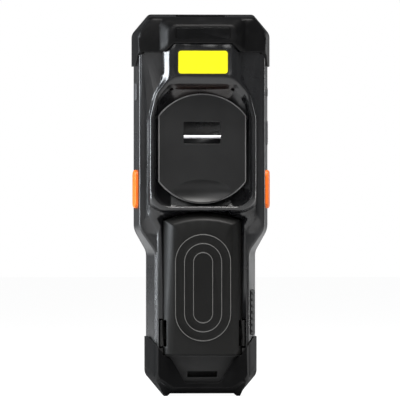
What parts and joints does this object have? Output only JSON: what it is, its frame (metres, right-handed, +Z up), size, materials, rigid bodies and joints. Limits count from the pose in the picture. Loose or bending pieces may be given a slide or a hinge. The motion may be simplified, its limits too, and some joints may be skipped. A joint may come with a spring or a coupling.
{
  "type": "portable barcode data terminal",
  "caption": "Rugged upright hand-held data terminal with keypad and touch display, raised back, strap plate, swing-out battery pack, orange side triggers and bumpers.",
  "frame": {"origin": "centre of the bounding box at the level of the two feet", "axes": "+Z runs up to the scanner end, +Y points out of the keypad side, the raised back faces -Y, +X is to the right seen from the back"},
  "size_m": [0.081, 0.037, 0.224],
  "materials": {
    "housing": "fine moulded grain, satin black",
    "battery": "fine moulded grain, satin black",
    "plate": "smooth moulded black",
    "latch": "moulded black",
    "bumper": "soft matt black rubber",
    "seal": "black rubber",
    "silicone": "grey silicone",
    "badge": "blank gloss black",
    "label": "bare yellow film",
    "window": "dark red tinted window",
    "glass": "touch glass over a dark display",
    "display": "display module",
    "board": "solder mask",
    "module": "black component",
    "steel": "steel",
    "screw": "zinc-plated steel",
    "gold": "gold-plated contacts",
    "cell": "foil pouch",
    "trigger": "orange moulded key",
    "scan_key": "orange moulded key",
    "key": "dark grey moulded key"
  },
  "bodies": {
    "chassis": {"front_housing": "housing", "rear_housing": "housing", "housing_seal": "seal", "top_bumper": "bumper", "bottom_bumper": "bumper", "scan_window": "window", "badge_plate": "badge", "label_plate": "label", "touch_glass": "glass", "display_gasket": "seal", "lcd_module": "display", "key_mat": "silicone", "keypad_board": "board", "main_board": "board", "speaker": "module", "scan_engine": "module", "grip_plate": "plate", "strap_bar": "steel", "contact_block": "module", "io_connector": "steel", "housing_screws": "screw", "board_screws": "screw", "plate_screws": "screw", "dock_contacts": "gold"},
    "battery": {"battery_shell": "battery", "battery_base": "battery", "battery_cell": "cell", "battery_contacts": "gold"},
    "left_latch": {"latch_left": "latch"},
    "right_latch": {"latch_right": "latch"},
    "flap": {"port_flap": "bumper"},
    "trigger_left": {"trigger_left": "trigger"},
    "trigger_right": {"trigger_right": "trigger"},
    "volume_rocker": {"volume_rocker": "key"},
    "side_key_right": {"side_key_right": "key"},
    "side_key_left": {"side_key_left": "key"},
    "digit_key_01": {"digit_key_01": "key"},
    "digit_key_02": {"digit_key_02": "key"},
    "digit_key_03": {"digit_key_03": "key"},
    "digit_key_04": {"digit_key_04": "key"},
    "digit_key_05": {"digit_key_05": "key"},
    "digit_key_06": {"digit_key_06": "key"},
    "digit_key_07": {"digit_key_07": "key"},
    "digit_key_08": {"digit_key_08": "key"},
    "digit_key_09": {"digit_key_09": "key"},
    "digit_key_10": {"digit_key_10": "key"},
    "digit_key_11": {"digit_key_11": "key"},
    "digit_key_12": {"digit_key_12": "key"},
    "function_key_1": {"function_key_1": "key"},
    "function_key_2": {"function_key_2": "key"},
    "function_key_3": {"function_key_3": "key"},
    "function_key_4": {"function_key_4": "key"},
    "power_key": {"power_key": "key"},
    "escape_key": {"escape_key": "key"},
    "enter_key": {"enter_key": "key"},
    "scan_key": {"scan_key": "scan_key"},
    "call_key": {"call_key": "key"},
    "end_key": {"end_key": "key"}
  },
  "joints": [
    {"name": "battery_swing", "type": "hinge", "parent": "chassis", "child": "battery", "pos_m": [0, -0.0149, 0.1054], "axis": [-1, 0, 0], "range_deg": [0, 35]},
    {"name": "left_latch_press", "type": "slide", "parent": "battery", "child": "left_latch", "axis": [1, 0, 0], "range_m": [0, 0.0015], "stiffness_N_per_m": 2000},
    {"name": "right_latch_press", "type": "slide", "parent": "battery", "child": "right_latch", "axis": [-1, 0, 0], "range_m": [0, 0.0015], "stiffness_N_per_m": 2000},
    {"name": "trigger_left_press", "type": "slide", "parent": "chassis", "child": "trigger_left", "axis": [0.982, 0.1891, 0], "range_m": [0, 0.0006], "stiffness_N_per_m": 3000},
    {"name": "trigger_right_press", "type": "slide", "parent": "chassis", "child": "trigger_right", "axis": [-0.982, 0.1891, 0], "range_m": [0, 0.0006], "stiffness_N_per_m": 3000},
    {"name": "volume_rocker_press", "type": "slide", "parent": "chassis", "child": "volume_rocker", "axis": [-0.982, 0.1891, 0], "range_m": [0, 0.0005], "stiffness_N_per_m": 2000},
    {"name": "side_key_right_press", "type": "slide", "parent": "chassis", "child": "side_key_right", "axis": [-0.982, 0.1891, 0], "range_m": [0, 0.0005], "stiffness_N_per_m": 2000},
    {"name": "side_key_left_press", "type": "slide", "parent": "chassis", "child": "side_key_left", "axis": [0.982, 0.1891, 0], "range_m": [0, 0.0005], "stiffness_N_per_m": 2000},
    {"name": "digit_key_01_press", "type": "slide", "parent": "chassis", "child": "digit_key_01", "axis": [0, -1, 0], "range_m": [0, 0.0008], "stiffness_N_per_m": 1500},
    {"name": "digit_key_02_press", "type": "slide", "parent": "chassis", "child": "digit_key_02", "axis": [0, -1, 0], "range_m": [0, 0.0008], "stiffness_N_per_m": 1500},
    {"name": "digit_key_03_press", "type": "slide", "parent": "chassis", "child": "digit_key_03", "axis": [0, -1, 0], "range_m": [0, 0.0008], "stiffness_N_per_m": 1500},
    {"name": "digit_key_04_press", "type": "slide", "parent": "chassis", "child": "digit_key_04", "axis": [0, -1, 0], "range_m": [0, 0.0008], "stiffness_N_per_m": 1500},
    {"name": "digit_key_05_press", "type": "slide", "parent": "chassis", "child": "digit_key_05", "axis": [0, -1, 0], "range_m": [0, 0.0008], "stiffness_N_per_m": 1500},
    {"name": "digit_key_06_press", "type": "slide", "parent": "chassis", "child": "digit_key_06", "axis": [0, -1, 0], "range_m": [0, 0.0008], "stiffness_N_per_m": 1500},
    {"name": "digit_key_07_press", "type": "slide", "parent": "chassis", "child": "digit_key_07", "axis": [0, -1, 0], "range_m": [0, 0.0008], "stiffness_N_per_m": 1500},
    {"name": "digit_key_08_press", "type": "slide", "parent": "chassis", "child": "digit_key_08", "axis": [0, -1, 0], "range_m": [0, 0.0008], "stiffness_N_per_m": 1500},
    {"name": "digit_key_09_press", "type": "slide", "parent": "chassis", "child": "digit_key_09", "axis": [0, -1, 0], "range_m": [0, 0.0008], "stiffness_N_per_m": 1500},
    {"name": "digit_key_10_press", "type": "slide", "parent": "chassis", "child": "digit_key_10", "axis": [0, -1, 0], "range_m": [0, 0.0008], "stiffness_N_per_m": 1500},
    {"name": "digit_key_11_press", "type": "slide", "parent": "chassis", "child": "digit_key_11", "axis": [0, -1, 0], "range_m": [0, 0.0008], "stiffness_N_per_m": 1500},
    {"name": "digit_key_12_press", "type": "slide", "parent": "chassis", "child": "digit_key_12", "axis": [0, -1, 0], "range_m": [0, 0.0008], "stiffness_N_per_m": 1500},
    {"name": "function_key_1_press", "type": "slide", "parent": "chassis", "child": "function_key_1", "axis": [0, -1, 0], "range_m": [0, 0.0008], "stiffness_N_per_m": 1500},
    {"name": "function_key_2_press", "type": "slide", "parent": "chassis", "child": "function_key_2", "axis": [0, -1, 0], "range_m": [0, 0.0008], "stiffness_N_per_m": 1500},
    {"name": "function_key_3_press", "type": "slide", "parent": "chassis", "child": "function_key_3", "axis": [0, -1, 0], "range_m": [0, 0.0008], "stiffness_N_per_m": 1500},
    {"name": "function_key_4_press", "type": "slide", "parent": "chassis", "child": "function_key_4", "axis": [0, -1, 0], "range_m": [0, 0.0008], "stiffness_N_per_m": 1500},
    {"name": "power_key_press", "type": "slide", "parent": "chassis", "child": "power_key", "axis": [0, -1, 0], "range_m": [0, 0.0008], "stiffness_N_per_m": 1500},
    {"name": "escape_key_press", "type": "slide", "parent": "chassis", "child": "escape_key", "axis": [0, -1, 0], "range_m": [0, 0.0008], "stiffness_N_per_m": 1500},
    {"name": "enter_key_press", "type": "slide", "parent": "chassis", "child": "enter_key", "axis": [0, -1, 0], "range_m": [0, 0.0008], "stiffness_N_per_m": 1500},
    {"name": "scan_key_press", "type": "slide", "parent": "chassis", "child": "scan_key", "axis": [0, -1, 0], "range_m": [0, 0.0008], "stiffness_N_per_m": 1500},
    {"name": "call_key_press", "type": "slide", "parent": "chassis", "child": "call_key", "axis": [0, -1, 0], "range_m": [0, 0.0008], "stiffness_N_per_m": 1500},
    {"name": "end_key_press", "type": "slide", "parent": "chassis", "child": "end_key", "axis": [0, -1, 0], "range_m": [0, 0.0008], "stiffness_N_per_m": 1500},
    {"name": "port_flap_open", "type": "hinge", "parent": "chassis", "child": "flap", "pos_m": [0.03165, 0.00491, 0.0489], "axis": [0, 0, 1], "range_deg": [0, 120]}
  ]
}
